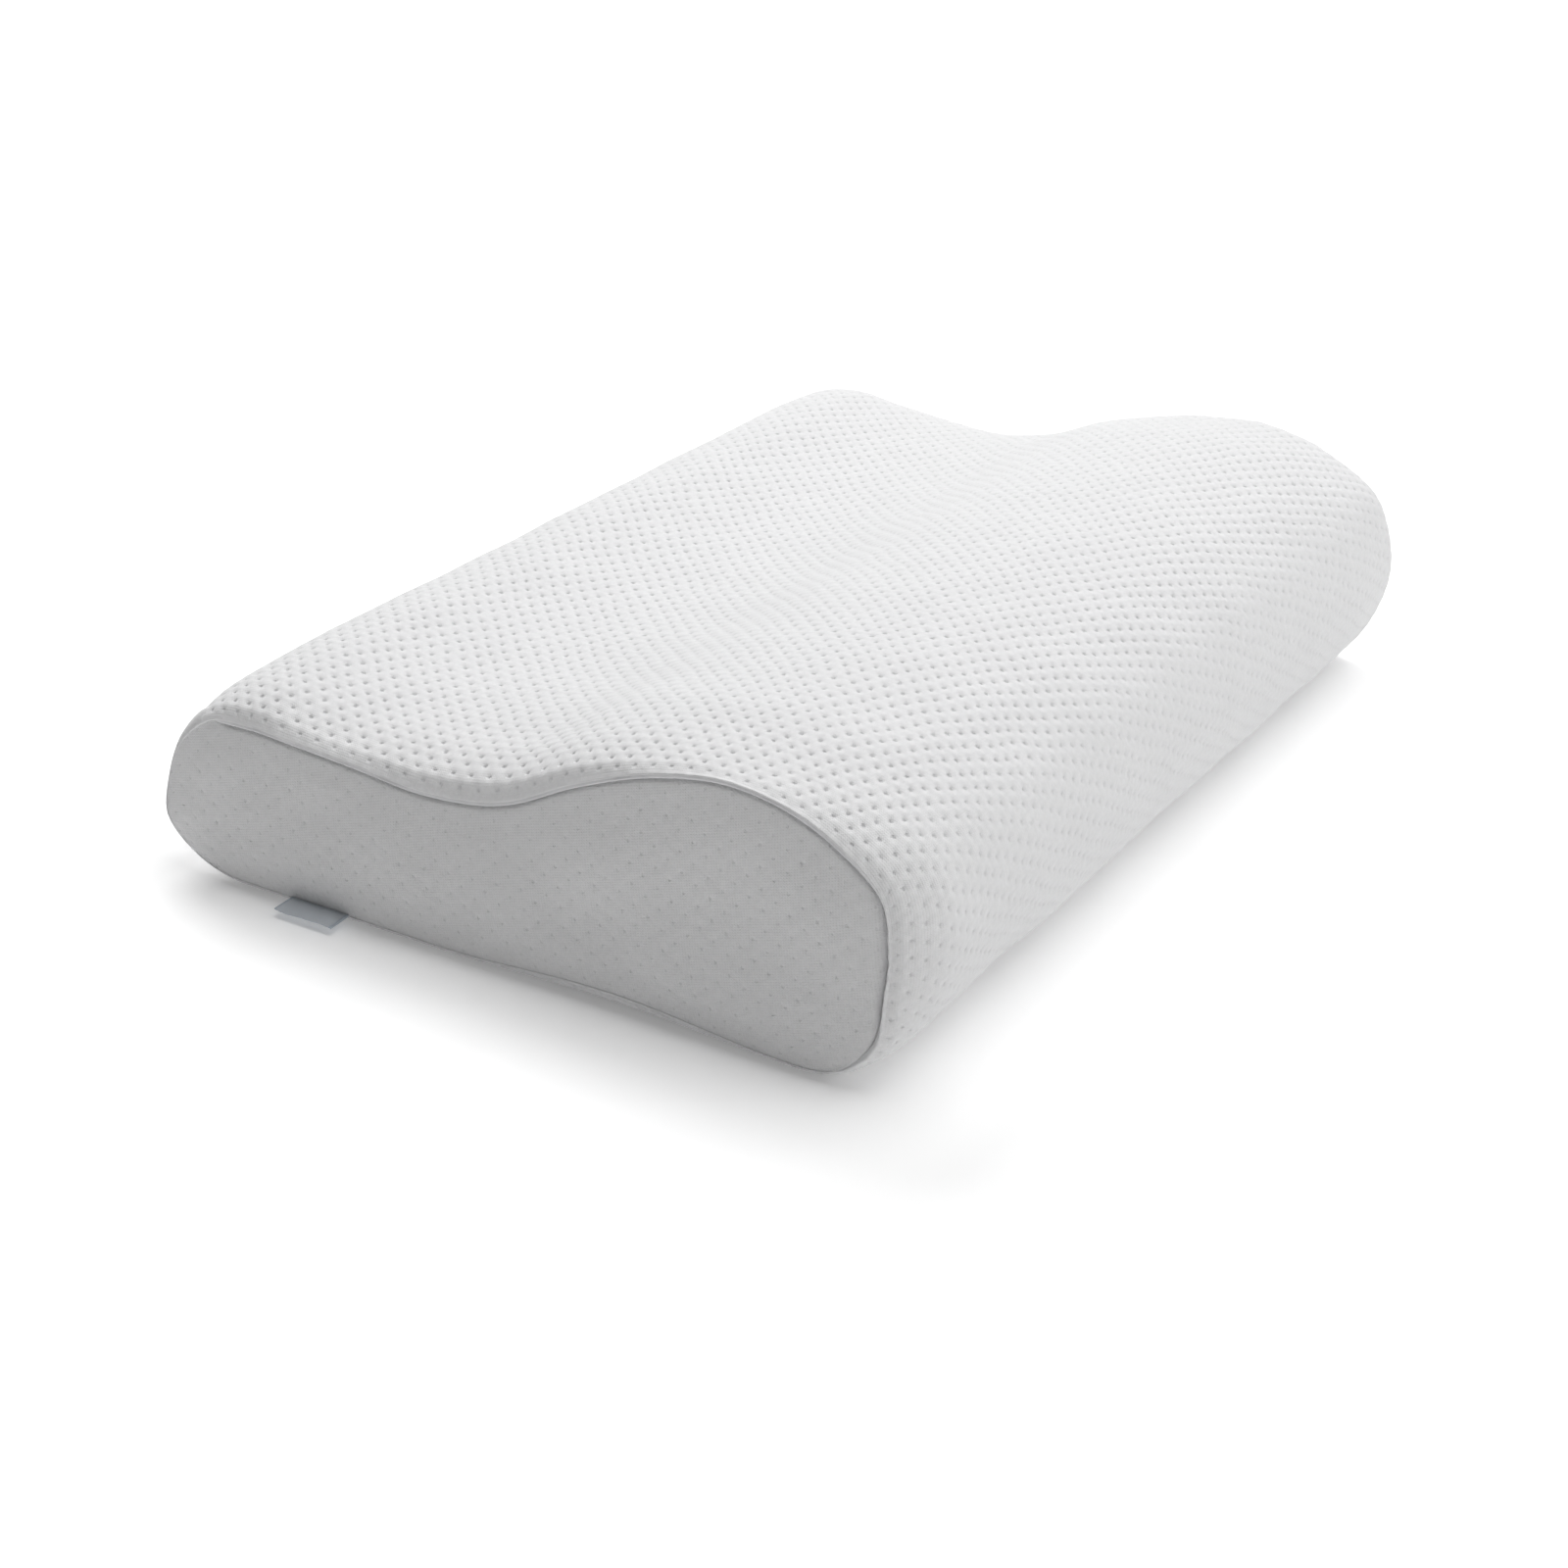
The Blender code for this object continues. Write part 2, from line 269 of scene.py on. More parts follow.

# The studio: soft round lights aimed at the pillow, and the floor's painted glow, which lights the
# pillow and leaves a painted shadow round it
LIGHTS = (
    # name, place, size, power
    ("overhead", (0.32, -0.45, 2.2), 2.4, 41.0),
    ("back_side", (1.2, 1.6, 1.8), 1.8, 45.0),
    ("front_side", (0.7, -2.4, 1.1), 1.8, 11.0),
)
LIGHT_AIM = (0.0, 0.0, 0.04)
WORLD_STRENGTH = 0.08
FLOOR_REACH = 30.0
FLOOR_COLOUR = (0.97, 0.97, 0.97, 1.0)
FLOOR_PAINTED_GLOW = 0.19            # painted glow beside the pillow, which lights it from below
HALF_DEPTH = 0.157           # half the pillow's depth
PAINTED_GLOW_STARTS = (-0.060, -0.020)  # distances out from its sides between which the painted glow begins; nearer the pillow the floor is left as painted shadow
END_PAINTED_SHADOW = 0.030            # it begins this much further out from the ends, which paints a darker shadow beside them
GLOW_FADE = (0.25, 1.4)      # and between which the floor turns evenly white

# The camera, aimed near the middle of the pillow
CAMERA_AZIMUTH = math.radians(-63.79)
CAMERA_ELEVATION = math.radians(24.352)
CAMERA_ROLL = math.radians(4.929)
CAMERA_DISTANCE = 1.3469
CAMERA_RIGHT = -0.02544
CAMERA_UP = -0.0535
CAMERA_AIM_Z = 0.045
CAMERA_LENS = 74.97
CAMERA_SENSOR = 36.0
CAMERA_CLIP = (0.05, 100.0)


def spline(rows, steps=24):
    """A smooth curve through the rows, level where it meets the flat underside at either foot."""
    pts = np.array(rows, dtype=float)
    chord = np.linalg.norm(np.diff(pts[:, :2], axis=0), axis=1)
    slope = np.zeros_like(pts)
    for i in range(1, len(pts) - 1):
        before, after = chord[i - 1], chord[i]
        slope[i] = ((pts[i] - pts[i - 1]) / before * after
                    + (pts[i + 1] - pts[i]) / after * before) / (before + after)
    slope[0, 0] = slope[-1, 0] = -1.0
    out = []
    for i in range(len(pts) - 1):
        for k in range(steps):
            t = k / steps
            h = chord[i]
            out.append((2 * t**3 - 3 * t**2 + 1) * pts[i] + (t**3 - 2 * t**2 + t) * h * slope[i]
                       + (3 * t**2 - 2 * t**3) * pts[i + 1] + (t**3 - t**2) * h * slope[i + 1])
    out.append(pts[-1])
    return np.array(out)


def run_of(curve):
    """Distances along a curve's points."""
    return np.r_[0.0, np.cumsum(np.linalg.norm(np.diff(curve[:, :2], axis=0), axis=1))]


class Section:
    """The pillow's middle section, read by the distance round it from the front foot."""

    def __init__(self):
        curve = spline([row[1:] for row in SECTION]) * MM
        along = run_of(curve)
        at = np.linspace(0.0, along[-1], FINE_OVER)
        over = np.stack([np.interp(at, along, curve[:, k]) for k in range(4)], axis=1)
        base = np.linspace(over[-1], over[0], FINE_BASE + 2)[1:-1]
        off_middle = np.clip(np.abs(base[:, 0] - ARCH_Y) / ARCH_REACH, 0.0, 1.0)
        base[:, 3] += ARCH_RISE * np.cos(0.5 * math.pi * off_middle) ** 2
        loop = np.vstack([over, base])
        step = np.roll(loop, -1, axis=0) - np.roll(loop, 1, axis=0)
        out = np.stack([-step[:, 1], step[:, 0]], axis=1)
        out /= np.linalg.norm(out, axis=1)[:, None]
        table = np.hstack([loop, out])
        self.table = np.vstack([table, table[:1]])
        self.run = run_of(self.table)
        self.length = self.run[-1]

    def at(self, s):
        """y, z, slope, roll and the outward normal's y and z at distances s round the section."""
        s = np.mod(s, self.length)
        return [np.interp(s, self.run, column) for column in self.table.T]


def rolled_at(distance, tight_share=TIGHT_SHARE):
    """Share of a section's roll by which the wrap is drawn in at a distance from a seam."""
    to_roll = 1.0 - np.clip(distance / ROLL_DEPTH, 0.0, 1.0)
    to_shoulder = 1.0 - np.clip(distance / SHOULDER_DEPTH, 0.0, 1.0)
    tight = 1.0 - np.sqrt(1.0 - to_roll ** 2)
    return tight_share * tight + (1.0 - tight_share) * to_shoulder ** 2


class ClothEdge:
    """How far from a seam a point of the cloth lies, by its distance from the cloth's edge.

    The roll beside a seam takes up more cloth than its depth, the more the deeper it is.
    """

    SHARES = 400             # columns of its table, over the run of the cloth
    ROLLS = 37               # and rows, up to the deepest roll
    DEEPEST = 0.018
    STEPS = 200              # of the measured curve, along the roll and along the rest

    def __init__(self):
        angle = np.linspace(0.0, 0.5 * math.pi, self.STEPS)
        self.rolls = np.linspace(0.0, self.DEEPEST, self.ROLLS)
        share = np.linspace(0.0, 1.0, self.SHARES) ** 2
        depth = np.r_[ROLL_DEPTH * (1.0 - np.cos(angle)),
                      np.linspace(ROLL_DEPTH, EDGE_ZONE, self.STEPS)[1:]]
        depths, totals = [], []
        for roll in self.rolls:
            run = run_of(np.stack([depth, roll * rolled_at(depth)], axis=1))
            depths.append(np.interp(share * run[-1], run, depth))
            totals.append(run[-1])
        self.depths, self.totals = np.array(depths), np.array(totals)

    def depth(self, cloth, roll):
        """Distances from the seam's plane, for distances of cloth from its edge."""
        zone = CLOTH_HALF - (HALF - EDGE_ZONE)
        total = np.interp(roll, self.rolls, self.totals)
        t = np.clip(cloth / zone, 0.0, 1.0)
        share = t + (zone / total - 1.0) * t * (t - 1.0)
        column = np.sqrt(np.clip(share, 0.0, 1.0)) * (self.SHARES - 1)
        row = np.clip(roll / self.rolls[-1], 0.0, 1.0) * (len(self.rolls) - 1)
        i = np.minimum(row.astype(int), len(self.rolls) - 2)
        j = np.minimum(column.astype(int), self.SHARES - 2)
        f, g = row - i, column - j
        low = self.depths[i, j] * (1 - g) + self.depths[i, j + 1] * g
        high = self.depths[i + 1, j] * (1 - g) + self.depths[i + 1, j + 1] * g
        return low * (1 - f) + high * f + np.maximum(cloth - zone, 0.0)


section = Section()
cloth_edge = ClothEdge()
pit_pitch = section.length / PITS_ROUND


def surface_at(s, distance, inward=0.0):
    """y and z of the wrap at distances round the section and back from a seam's plane."""
    y, z, slope, roll, out_y, out_z = section.at(s)
    soft = np.clip(distance / SOFT_DEPTH, 0.0, 1.0)
    gentle = (1.0 - soft) ** 2 * (1.0 + 2.0 * soft)
    tight_share = TIGHT_SHARE * (1.0 - (1.0 - FRONT_TIGHT) * front_at(s))
    pull = slope * gentle + roll * rolled_at(distance, tight_share) + inward
    return np.stack([y - out_y * pull, z - out_z * pull], axis=-1)


def seam_outline(s, inward):
    """y and z at distances round the section, in the seam's plane and in from its outline."""
    return surface_at(s, np.zeros_like(s), inward)


def ripple(points, seed, shortest, longest, count=24):
    """Smooth uneven waves of unit size: a sum of seeded waves in every direction."""
    rng = np.random.default_rng(seed)
    direction = rng.normal(size=(count, points.shape[1]))
    direction /= np.linalg.norm(direction, axis=1)[:, None]
    length = np.exp(rng.uniform(math.log(shortest), math.log(longest), count))
    phase = rng.uniform(0.0, 2.0 * math.pi, count)
    waves = np.zeros(len(points))
    for k in range(count):
        waves += np.cos(2.0 * math.pi * points @ direction[k] / length[k] + phase[k])
    return waves * math.sqrt(2.0 / count)


def unevenness(what, points):
    """One of the seeded unevennesses of the cloth, at points."""
    seed, size, shortest, longest = UNEVEN[what]
    return size * ripple(points, seed, shortest, longest)


def smooth_step(low, high, value):
    """A soft step from 0 at low to 1 at high."""
    t = np.clip((value - low) / (high - low), 0.0, 1.0)
    return t * t * (3.0 - 2.0 * t)


def cover_at(s):
    """Where an end panel rolls over the edge: 1 along the back and underside, 0 elsewhere."""
    s = np.mod(s, section.length)
    return np.maximum(smooth_step(*COVER_STARTS, s), 1.0 - smooth_step(*COVER_ENDS, s))


def front_at(s):
    """Where an end panel's rim rolls more broadly: 1 along the front face, 0 elsewhere."""
    s = np.mod(s, section.length)
    return smooth_step(*FRONT_STARTS, s) * (1.0 - smooth_step(*FRONT_ENDS, s))


def lattice(across, along, shift):
    """Two lattice coordinates, whole numbers at the pits, from pitches across and along."""
    second = along + shift * across
    return across - second, second


def puff(a, b):
    """How far up the knit stands between pits, from 0 at a pit to 1 halfway between three."""
    waves = np.cos(2 * math.pi * a) + np.cos(2 * math.pi * b) + np.cos(2 * math.pi * (a + b))
    return (3.0 - waves) / 4.5


def new_object(name, points, faces, uvs):
    """A smooth mesh object from points and faces; uvs has one pair for each face corner."""
    data = bpy.data.meshes.new(name)
    data.from_pydata(points.tolist(), [], faces)
    layer = data.uv_layers.new(name="Knit")
    layer.data.foreach_set("uv", np.asarray(uvs, dtype=np.float32).ravel())
    data.update()
    data.shade_smooth()
    result = bpy.data.objects.new(name, data)
    bpy.context.scene.collection.objects.link(result)
    return result


def vertex_normals(obj):
    """An object's vertex normals, one row each."""
    flat = np.zeros(len(obj.data.vertices) * 3, np.float32)
    obj.data.vertex_normals.foreach_get("vector", flat)
    return flat.reshape(-1, 3).astype(float)


def spine_of(ring):
    """For each point of an end's ring, the point on its middle line that a cap closes on."""
    y, z = ring[:, 0], ring[:, 1]
    order = np.argsort(y)
    order = order[z[order] > SPINE_FROM * z.max()]
    centre = (y.min() + y.max()) / 2.0
    spine_y = centre + (y - centre) * SPINE_REACH
    height = np.interp(spine_y, y[order], z[order])
    return np.stack([spine_y, 0.5 * height], axis=1)


def cap_bulge(share):
    """The outward bulge of an end, from 0 at the seam to CROWN at the spine."""
    return CROWN * (1.0 - (1.0 - np.clip(share, 0.0, 1.0)) ** BULGE_POWER)


def wrap_rings():
    """The wrap's rings from end to end: cloth distance from the middle, and start, in pitches."""
    edge = [(CLOTH_HALF - distance * MM, COLUMNS_EACH_WAY) for distance, _ in WELT[:SEAM_RINGS]]
    rings = [(-at, -column) for at, column in edge]
    for column in range(-COLUMNS_EACH_WAY, COLUMNS_EACH_WAY + 1):
        for side in (-1.0, 1.0):
            rings.append((column * COLUMN_PITCH + side * PIT_HALF_X, column))
    return rings + edge[::-1]


def place_wrap(u, s):
    """Points of the wrap at cloth coordinates along the pillow and round it."""
    roll = section.at(s)[3]
    depth = cloth_edge.depth(CLOTH_HALF - np.abs(u), roll)
    yz = surface_at(s, depth)
    return np.column_stack([np.sign(u) * (HALF - depth), yz])


def wrap_faces(rings, start, local, out_z):
    """Faces between the wrap's rings, with two rings of small faces down into each pit.

    Gives the faces, the cloth coordinates of their corners, and the pits' own points: their cloth
    coordinates and how deep they lie, as a share.
    """
    count = len(local)
    faces, corners, pits = [], [], []
    for ring in range(len(rings) - 1):
        holds_pits = rings[ring][1] == rings[ring + 1][1]
        holds_pits &= abs(rings[ring + 1][0] - rings[ring][0] - 2.0 * PIT_HALF_X) < 1e-6
        for step in range(count):
            turn = section.length * ((step + 1) // count)
            after = (step + 1) % count
            quad = ((ring, step, 0.0), (ring + 1, step, 0.0),
                    (ring + 1, after, turn), (ring, after, turn))
            ids = [r * count + k for r, k, _ in quad]
            place = [(rings[r][0], start[r] + local[k] + extra) for r, k, extra in quad]
            if not (holds_pits and step % 3 == 0 and out_z[ids[0]] > UNDERSIDE_TURN):
                faces.append(tuple(ids))
                corners += place
                continue
            middle = np.mean(place, axis=0)
            inner = [tuple(middle + (np.array(p) - middle) * PIT_RING) for p in place]
            base = len(rings) * count + len(pits)
            pits += [(*p, PIT_RING_DEPTH) for p in inner] + [(*middle, 1.0)]
            for k in range(4):
                n = (k + 1) % 4
                faces.append((ids[k], ids[n], base + n, base + k))
                corners += [place[k], place[n], inner[n], inner[k]]
                faces.append((base + k, base + n, base + 4))
                corners += [inner[k], inner[n], tuple(middle)]
    return faces, corners, np.array(pits)


def crowned_rings(rim, s, depth):
    """Rings of an end's crowned surface at a depth behind its face, from its rim inwards.

    Each ring, here and in the next function, holds x past the seam's plane, y and z.
    """
    spine = spine_of(rim)
    rings = []
    for share in CAP_RINGS:
        x = cap_bulge(share) - depth - FRONT_FALL * front_at(s) * (1.0 - share)
        rings.append(np.column_stack([x, rim + (spine - rim) * share]))
    return rings


def end_rings(edge):
    """Rings of an end of the wrap: its lip, then the floor of the pocket behind its panel."""
    cover = cover_at(edge)
    rings = []
    for past, inward in LIP:
        x = (past * (1.0 - cover) + COVERED_LIP * cover) * MM - FRONT_LIP_FALL * front_at(edge)
        rings.append(np.column_stack([x, seam_outline(edge, inward * MM)]))
    return rings + crowned_rings(seam_outline(edge, LIP[-1][1] * MM), edge, POCKET_DEPTH)


def close_end(faces, ring, start, more, turned):
    """Faces from a ring of points over more rings, whose points begin at start, and a last face."""
    count = len(ring)
    for _ in range(more):
        ahead = list(range(start, start + count))
        start += count
        for k in range(count):
            n = (k + 1) % count
            quad = (ring[k], ring[n], ahead[n], ahead[k])
            faces.append(quad[::-1] if turned else quad)
        ring = ahead
    faces.append(tuple(ring[::-1]) if turned else tuple(ring))


def wrap_relief(u, s, depth):
    """How far the wrap stands out at its cloth coordinates, with its pits at their depths."""
    cloth = CLOTH_HALF - np.abs(u)
    y, z, _, _, _, out_z = section.at(s)
    around = np.stack([u, y, z], axis=1)
    a, b = lattice(u / COLUMN_PITCH, s / pit_pitch, COLUMN_SHIFT)
    knit = smooth_step(*KNIT_STARTS, cloth)
    off_base = smooth_step(*OFF_BASE, out_z)
    rise = PUFF_HEIGHT * (puff(a, b) - PUFF_LEVEL) * knit * off_base
    depth = depth * (EDGE_PITS + (1.0 - EDGE_PITS) * knit)
    depth *= FAINT_PITS + (1.0 - FAINT_PITS) * smooth_step(*FAINT_FRONT, y)
    rise -= PIT_DEPTH * depth * (1.0 + unevenness("pit depth", around))
    welt = np.array(WELT) * MM
    rise += np.interp(cloth, welt[:, 0], welt[:, 1]) * (1.0 - cover_at(s))
    pucker = unevenness("pucker", np.stack([s, PUCKER_STRETCH * cloth], axis=1))
    rise += pucker * np.exp(-cloth / PUCKER_FADE) * off_base
    return rise + unevenness("wrap", around) * knit * off_base


def make_wrap():
    """The filled pillow in its pitted wrap, with a roll and a sewn lip at each end."""
    rings = wrap_rings()
    across_pit = [[-PIT_HALF_S, PIT_HALF_S, pit_pitch / 2.0]]
    local = (np.arange(PITS_ROUND)[:, None] * pit_pitch + across_pit).ravel()
    count = len(local)
    start = [-COLUMN_SHIFT * pit_pitch * column for _, column in rings]
    u = np.repeat([at for at, _ in rings], count)
    s = (np.array(start)[:, None] + local[None]).ravel()
    depth = np.zeros(len(u))
    faces, corners, pits = wrap_faces(rings, start, local, section.at(s)[5])
    u, s, depth = np.r_[u, pits[:, 0]], np.r_[s, pits[:, 1]], np.r_[depth, pits[:, 2]]

    # the columns wander a little between the seams
    free = smooth_step(*DRIFT_STARTS, CLOTH_HALF - np.abs(u))
    around = np.stack([u, *section.at(s)[:2]], axis=1)
    parts = [place_wrap(u + free * unevenness("drift along", around),
                        s + free * unevenness("drift round", around))]
    known = size = len(u)
    knitted = len(faces)
    for side, outer in ((-1.0, 0), (1.0, (len(rings) - 1) * count)):
        end = end_rings(s[outer:outer + count])
        parts.append(np.vstack(end))
        parts[-1][:, 0] = side * (HALF + parts[-1][:, 0])
        close_end(faces, list(range(outer, outer + count)), size, len(end), side > 0)
        size += len(parts[-1])
    corners += [(0.0, 0.0) for face in faces[knitted:] for _ in face]
    points = np.vstack(parts)
    corners = np.array(corners)
    a, b = lattice(corners[:, 0] / COLUMN_PITCH, corners[:, 1] / pit_pitch, COLUMN_SHIFT)
    wrap = new_object("knitted_wrap", points, faces, np.stack([a, b], axis=1))
    points[:known] += vertex_normals(wrap)[:known] * wrap_relief(u, s, depth)[:, None]
    wrap.data.vertices.foreach_set("co", points.astype(np.float32).ravel())
    wrap.data.update()
    return wrap


def distance_to(points, ring):
    """Distance of plane points to a closed ring, and the number of the ring's nearest step."""
    best = np.full(len(points), 1e9)
    nearest = np.zeros(len(points), int)
    for k, (start, end) in enumerate(zip(ring, np.roll(ring, -1, axis=0))):
        edge = end - start
        t = np.clip((points - start) @ edge / (edge @ edge), 0.0, 1.0)
        away = np.linalg.norm(points - start - t[:, None] * edge, axis=1)
        nearest[away < best] = k
        best = np.minimum(best, away)
    return best, nearest


def panel_lattice(y, z):
    """The lattice coordinates of a panel's pits at points of its plane."""
    across = (y * math.cos(PANEL_LEAN) - z * math.sin(PANEL_LEAN)) / PANEL_COLUMN_PITCH
    along = (y * math.sin(PANEL_LEAN) + z * math.cos(PANEL_LEAN)) / PANEL_PIT_PITCH
    return lattice(across, along, PANEL_SHIFT)


def panel_grid(ring):
    """Points of a fine grid between the panel's pits, inside a closed ring of its plane."""
    low, high = ring.min(axis=0), ring.max(axis=0)
    span = int(max(high - low) / PANEL_COLUMN_PITCH) + PANEL_SPARE
    steps = np.arange(-span * PANEL_FINE, span * PANEL_FINE + 1) / PANEL_FINE
    a, b = np.meshgrid(steps, steps)
    across = (a + b).ravel()
    along = (b.ravel() - PANEL_SHIFT * across) * PANEL_PIT_PITCH
    across = across * PANEL_COLUMN_PITCH
    y = across * math.cos(PANEL_LEAN) + along * math.sin(PANEL_LEAN)
    z = -across * math.sin(PANEL_LEAN) + along * math.cos(PANEL_LEAN)
    near = (y > low[0]) & (y < high[0]) & (z > low[1]) & (z < high[1])
    grid = np.stack([y[near], z[near]], axis=1)
    inside = np.zeros(len(grid), bool)
    y, z = grid.T
    for (y0, z0), (y1, z1) in zip(ring, np.roll(ring, -1, axis=0)):
        if z0 != z1:
            crosses = (z0 > z) != (z1 > z)
            inside ^= crosses & (y < (y1 - y0) * (z - z0) / (z1 - z0) + y0)
    grid = grid[inside]
    return grid[distance_to(grid, ring)[0] > PANEL_MARGIN]


def rim_rise(inward, s):
    """How far a panel's face lies past the seam's plane, by its distance in from the outline."""
    turn = np.clip(1.0 - (inward - RIM[0][0] * MM) / RIM_WIDTH, 0.0, 1.0)
    fall = RIM_FALL * (1.0 - np.sqrt(1.0 - turn ** 2))
    reach = np.clip(1.0 - inward / FRONT_WIDTH, 0.0, 1.0)
    broad = FRONT_FALL * front_at(s) * (1.0 - np.sqrt(1.0 - reach ** 2))
    bulge = cap_bulge(inward / PANEL_HALF_HEIGHT)
    return bulge - RIM_SINK - (fall + broad) * (1.0 - cover_at(s))


def panel_rim(s):
    """The rim's rings from the hidden edge inwards, each as x past the seam's plane, y and z."""
    cover = cover_at(s)[:, None]
    rings = []
    for inward, back, out in np.array(RIM) * MM:
        seam = np.column_stack([rim_rise(inward, s), seam_outline(s, inward)])
        level = np.full(len(s), back)
        over = np.column_stack([-level, surface_at(s, level, -out)])
        rings.append(seam * (1.0 - cover) + over * cover)
    for in_seam, over_edge in np.array(RIM_INNER) * MM:
        inward = in_seam + (over_edge - in_seam) * cover[:, 0]
        rings.append(np.column_stack([rim_rise(inward, s), seam_outline(s, inward)]))
    return rings


def panel_relief(yz, depth):
    """How far a panel's face stands out, in from its outline: pits, puffs and unevenness."""
    a, b = panel_lattice(yz[:, 0], yz[:, 1])
    off_a, off_b = a - np.round(a), b - np.round(b)
    along = (off_b * (1.0 - PANEL_SHIFT) - off_a * PANEL_SHIFT) * PANEL_PIT_PITCH
    reach = np.hypot((off_a + off_b) * PANEL_COLUMN_PITCH, along)
    full = smooth_step(*PANEL_FULL_PITS, yz[:, 0])
    sink = PANEL_FAINT_PITS + (1.0 - PANEL_FAINT_PITS) * full + unevenness("panel pit depth", yz)
    sink *= PANEL_PIT_DEPTH * np.exp(-(reach / PANEL_PIT_RADIUS) ** 2)
    rise = (PANEL_PUFF * (puff(a, b) - 1.0) - sink) * smooth_step(*PANEL_KNIT_STARTS, depth)
    rise += unevenness("panel", yz) * smooth_step(*PANEL_SOFT_STARTS, depth)
    starts, fade = PANEL_PUCKERS
    return rise + unevenness("panel pucker", yz) * np.exp(-depth / fade) * (depth > starts)


def make_panel(name, side):
    """A crowned end panel with a rolled rim and faint pits, as a closed sheet."""
    s = np.linspace(0.0, section.length, PANEL_POINTS, endpoint=False)
    rings = panel_rim(s)
    inner = rings[-1][:, 1:]
    grid = panel_grid(inner)
    outline = seam_outline(s, 0.0)
    flat = [Vector(p) for p in np.vstack([inner, grid]).tolist()]
    _, _, cells, origin, _, _ = delaunay_2d_cdt(flat, [], [list(range(PANEL_POINTS))], 1, 1e-7)
    order = [made_from[0] for made_from in origin]
    depth, nearest = distance_to(grid, outline)
    grid_x = rim_rise(depth, s[nearest])
    points = np.vstack(rings + [np.column_stack([grid_x, grid])])
    faces = []
    for ring in range(len(rings) - 1):
        base = ring * PANEL_POINTS
        for k in range(PANEL_POINTS):
            n = (k + 1) % PANEL_POINTS
            faces.append((base + k, base + n, base + PANEL_POINTS + n, base + PANEL_POINTS + k))
    base = (len(rings) - 1) * PANEL_POINTS
    for cell in cells:
        faces.append(tuple(base + order[k] for k in reversed(cell)))
    points[:, 0] += panel_relief(points[:, 1:], distance_to(points[:, 1:], outline)[0])

    # the back of the sheet, which lies on the foam
    back = crowned_rings(seam_outline(s, RIM[0][0] * MM), s, PANEL_BACK)
    close_end(faces, list(range(PANEL_POINTS)), len(points), len(back), True)
    points = np.vstack([points] + back)
    if side > 0:
        faces = [face[::-1] for face in faces]
    points[:, 0] = side * (HALF + points[:, 0])
    used = [k for face in faces for k in face]
    uvs = np.stack(panel_lattice(points[used, 1], points[used, 2]), axis=1)
    return new_object(name, points, faces, uvs)


def make_tab():
    """The blank woven tab: one tape folded in two, its fold outward, standing from the seam."""
    inner, outer = (TAB_TAPE * layer for layer in TAB_LAYERS)
    t = np.linspace(0.0, 1.0, TAB_STEPS_ALONG + 1)
    path = np.stack([-HALF + TAB_ROOT_SINK - (TAB_LENGTH + TAB_ROOT_SINK) * t,
                     TAB_ROOT_Z - TAB_DROOP * t ** TAB_DROOP_POWER], axis=1)
    tangent = np.gradient(path, axis=0)
    tangent /= np.linalg.norm(tangent, axis=1)[:, None]
    up = np.stack([tangent[:, 1], -tangent[:, 0]], axis=1)
    turn = [math.pi / 2 - math.pi * k / TAB_FOLD_STEPS for k in range(1, TAB_FOLD_STEPS)]

    def side_of(height):
        fold = [path[-1] + tangent[-1] * height * math.cos(q) + up[-1] * height * math.sin(q)
                for q in turn]
        return np.vstack([path + up * height, fold, (path - up * height)[::-1]])

    loop = np.vstack([side_of(outer), side_of(inner)[::-1]])
    count = len(loop)
    widths = np.linspace(-TAB_WIDTH / 2.0, TAB_WIDTH / 2.0, TAB_STEPS_ACROSS + 1)
    reach = np.clip((-HALF - loop[:, 0]) / TAB_LENGTH, 0.0, 1.0)
    points = []
    for w in widths:
        wave = sum(height * math.sin(start + turns * w) for height, turns, start in TAB_WAVES)
        lift = wave * reach + TAB_CURL * reach ** 2 * (w / (TAB_WIDTH / 2.0)) ** 2
        points.append(np.stack([loop[:, 0], np.full(count, TAB_Y + w), loop[:, 1] + lift], axis=1))
    faces, uvs = [], []
    run = run_of(np.vstack([loop, loop[:1]]))
    for k in range(TAB_STEPS_ACROSS):
        for j in range(count):
            n = (j + 1) % count
            faces.append((k * count + j, (k + 1) * count + j, (k + 1) * count + n, k * count + n))
            uvs += [(widths[k], run[j]), (widths[k + 1], run[j]),
                    (widths[k + 1], run[j + 1]), (widths[k], run[j + 1])]
    for k in (0, TAB_STEPS_ACROSS):
        base = k * count
        for j in range(count // 2 - 1):
            quad = (base + j, base + j + 1, base + count - 2 - j, base + count - 1 - j)
            faces.append(quad if k == 0 else quad[::-1])
            uvs += [(widths[k], 0.0)] * 4
    return new_object("label_tab_tape", np.vstack(points), faces, np.array(uvs) / MM)


